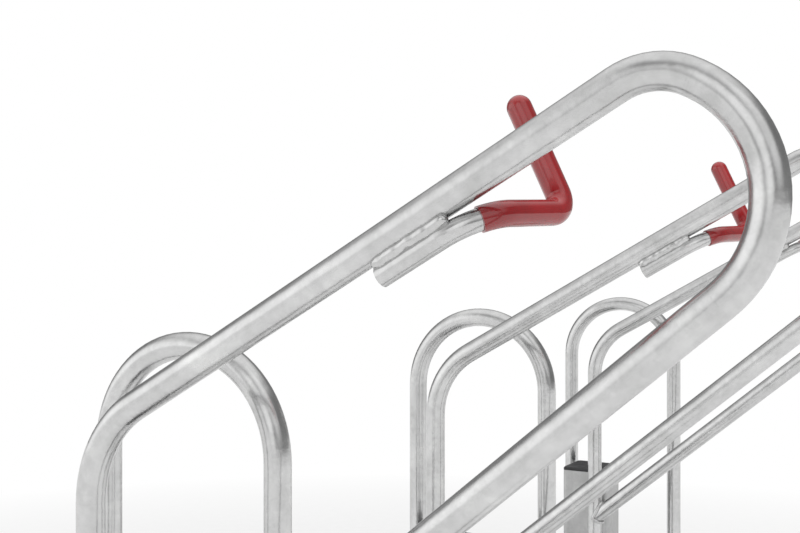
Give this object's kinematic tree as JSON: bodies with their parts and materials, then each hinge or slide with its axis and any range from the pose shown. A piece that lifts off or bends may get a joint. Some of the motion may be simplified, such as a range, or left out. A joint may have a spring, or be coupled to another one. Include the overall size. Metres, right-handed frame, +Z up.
{
  "type": "hanging bicycle rack with three front wheel places",
  "caption": "Row of three welded tube holders on a floor rail, each with a looped wheel guide, a red-sleeved hook for the wheel's rim and a tall hoop for a lock",
  "frame": {"origin": "the floor point under the axis of the middle post", "axes": "+X along the row, -Y the front where the bicycle comes in, +Z up"},
  "size_m": [1.1, 0.5825, 0.7615],
  "materials": {
    "galvanised_steel": "hot-dip galvanised, satin with soft mottling",
    "zinc_coated_weld": "weld bead under the same zinc, a little brighter and lumpy",
    "zinc_hardware": "bright zinc plate",
    "red_sleeve": "glossy deep red plastic",
    "black_plastic": "fine satin black"
  },
  "bodies": {
    "root": {"foot_1": "galvanised_steel", "foot_2": "galvanised_steel", "foot_3": "galvanised_steel", "post_1": "galvanised_steel", "post_2": "galvanised_steel", "post_3": "galvanised_steel", "post_cap_1": "black_plastic", "post_cap_2": "black_plastic", "post_cap_3": "black_plastic", "holder_loop_1": "galvanised_steel", "holder_loop_2": "galvanised_steel", "holder_loop_3": "galvanised_steel", "locking_hoop_1": "galvanised_steel", "locking_hoop_2": "galvanised_steel", "locking_hoop_3": "galvanised_steel", "hook_bar_1": "galvanised_steel", "hook_bar_2": "galvanised_steel", "hook_bar_3": "galvanised_steel", "hook_sleeve_1": "red_sleeve", "hook_sleeve_2": "red_sleeve", "hook_sleeve_3": "red_sleeve", "hook_weld_1": "zinc_coated_weld", "hook_weld_2": "zinc_coated_weld", "hook_weld_3": "zinc_coated_weld", "frame_welds_1": "zinc_coated_weld", "frame_welds_2": "zinc_coated_weld", "frame_welds_3": "zinc_coated_weld", "row_rail": "galvanised_steel", "rail_bolts": "zinc_hardware", "rail_washers": "zinc_hardware", "rail_inserts": "zinc_hardware", "foot_plugs": "black_plastic"}
  },
  "joints": []
}
